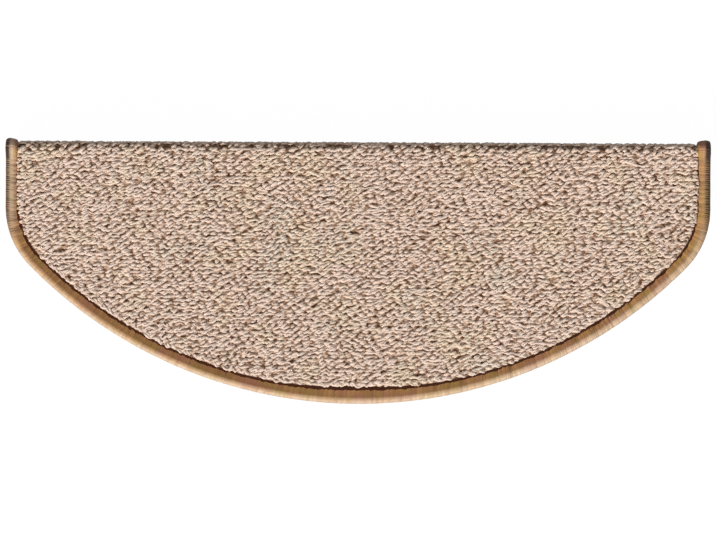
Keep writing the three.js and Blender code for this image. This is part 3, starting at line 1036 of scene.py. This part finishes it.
def floor_material():
    """White to the camera and in reflections, with a faint share of shadow, dark grey to the rest
    of the light, and clear when seen from below."""
    shadow_share = 0.06
    white_strength = 1.03
    white = rgb(1, 1, 1)
    grey = rgb(0.12, 0.12, 0.12)
    nodes = Nodes(bpy.data.materials.new("pale_floor"))
    nodes.tree.nodes.remove(nodes.shader)
    path = nodes.add("ShaderNodeLightPath").outputs
    seen = nodes.math("MAXIMUM", path["Is Camera Ray"], path["Is Glossy Ray"])
    plain = nodes.add("ShaderNodeBsdfDiffuse", {"Color": grey})
    glowing = nodes.add("ShaderNodeEmission", {"Color": white, "Strength": white_strength})
    shaded = nodes.add("ShaderNodeBsdfDiffuse", {"Color": white})
    clear = nodes.add("ShaderNodeBsdfTransparent")
    shown = nodes.mix_shader(shadow_share, glowing, shaded)
    surface = nodes.mix_shader(seen, plain, shown)
    below = nodes.add("ShaderNodeNewGeometry").outputs["Backfacing"]
    seen_from_below = nodes.math("MULTIPLY", below, path["Is Camera Ray"])
    either = nodes.mix_shader(seen_from_below, surface, clear)
    nodes.put(either.outputs[0], nodes.tree.nodes["Material Output"].inputs["Surface"])
    return nodes.owner


def build_floor(start, end):
    """The floor along the line that the mat rests on, tilted as the flap tips the mat up."""
    size = 8.0
    gap = 0.0002
    slope = math.atan2(end[1] - start[1], end[0] - start[0])
    bpy.ops.mesh.primitive_plane_add(size=size, location=(0, start[0], start[1] - gap))
    floor = bpy.context.object
    floor.name = "floor"
    floor.rotation_euler = (slope, 0, 0)
    floor.data.materials.append(floor_material())


def build_world():
    """White to the camera and in reflections, and otherwise a soft light, most of it from above."""
    focus = 2.0
    from_sides, from_above = 0.06, 0.90
    world = bpy.data.worlds.new("studio")
    bpy.context.scene.world = world
    nodes = Nodes(world)
    path = nodes.add("ShaderNodeLightPath").outputs
    seen = nodes.math("MAXIMUM", path["Is Camera Ray"], path["Is Glossy Ray"])
    heading = nodes.add("ShaderNodeTexCoord").outputs["Generated"]
    up = nodes.add("ShaderNodeSeparateXYZ", {"Vector": heading}).outputs["Z"]
    overhead = nodes.math("POWER", nodes.math("MAXIMUM", up, 0.0), focus)
    soft_light = nodes.spread(overhead, low=0.0, high=1.0, to_low=from_sides, to_high=from_above)
    strength = nodes.spread(seen, low=0.0, high=1.0, to_low=soft_light, to_high=1.0)
    background = nodes.tree.nodes["Background"].inputs
    nodes.put(strength, background["Strength"])
    nodes.put(rgb(1, 1, 1), background["Color"])


def build_key_light():
    """A soft sun from the lower left of the picture."""
    tilt, turn = -60, -22
    key = bpy.data.lights.new("key", "SUN")
    key.energy = 3.4
    key.angle = math.radians(14)
    lamp = bpy.data.objects.new("key", key)
    lamp.rotation_euler = (math.radians(tilt), 0, math.radians(turn))
    bpy.context.collection.objects.link(lamp)


def build_camera():
    """Straight above the tread, with the nosing at the top of the picture."""
    frame_width = 716
    pixels_per_metre = 1087.1
    distance = 2.6
    middle = (358.0, 270.0)
    mat_middle = (357.7, 272.8)
    half_turn, photo_tilt = 180, 0.26
    camera = bpy.data.cameras.new("camera")
    camera.sensor_width = 36.0
    camera.lens = camera.sensor_width * distance * pixels_per_metre / frame_width
    holder = bpy.data.objects.new("camera", camera)
    holder.location = (
        (mat_middle[0] - middle[0]) / pixels_per_metre,
        (middle[1] - mat_middle[1]) / pixels_per_metre,
        distance + crown,
    )
    holder.rotation_euler = (0, 0, math.radians(half_turn + photo_tilt))
    bpy.context.collection.objects.link(holder)
    bpy.context.scene.camera = holder


pile = build_pile(pile_material("pile_yarn"))
pile.append(build_bed(pile_material("pile_fibres")))
ground = build_ground(ground_material())
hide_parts("loop_pile_carpet")
for panel in pile:
    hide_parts("loop_pile_carpet")

wraps = build_wraps(binding_material())
core = build_core(core_material())
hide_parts("edge_binding")
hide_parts("edge_binding")

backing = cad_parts["anti_slip_backing"]
backing.data.materials.clear()
backing.data.materials.append(backing_material())

build_floor(*resting_line([wraps]))
build_world()
build_key_light()
build_camera()
bpy.context.scene.view_settings.view_transform = "Standard"
